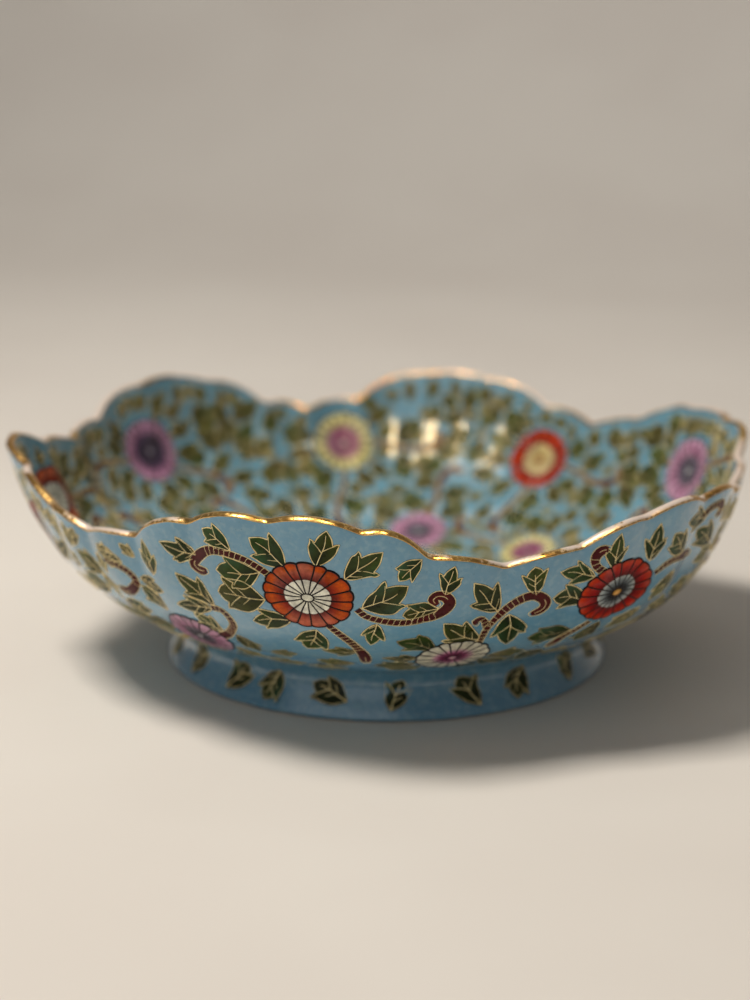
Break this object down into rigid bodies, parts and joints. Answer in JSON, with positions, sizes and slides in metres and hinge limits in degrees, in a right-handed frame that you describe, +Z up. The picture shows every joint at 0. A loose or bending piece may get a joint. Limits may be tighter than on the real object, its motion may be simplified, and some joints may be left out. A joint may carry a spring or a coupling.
{
  "type": "serving bowl",
  "caption": "Footed porcelain serving bowl with a lobed, scalloped gilt rim and raised enamel flowers and leaves on a turquoise ground, inside and out.",
  "frame": {"origin": "centre of the foot ring's tread, on the table plane", "axes": "+Z up out of the mouth; -Y is the front, near the middle of one lobe; +X to the right when seen from the front"},
  "size_m": [0.2541, 0.2623, 0.0829],
  "materials": {
    "turquoise_glaze": "glossy overglaze enamel ground on white porcelain",
    "gilding": "burnished bright gold over the glaze, a little worn",
    "blossom_enamel": "glossy raised enamel",
    "leaf_enamel": "glossy raised enamel"
  },
  "bodies": {
    "root": {"bowl_body": "turquoise_glaze", "foot_ring": "turquoise_glaze", "gilt_rim": "gilding", "outside_blossoms": "blossom_enamel", "inside_blossoms": "blossom_enamel", "foot_leaves": "leaf_enamel"}
  },
  "joints": []
}
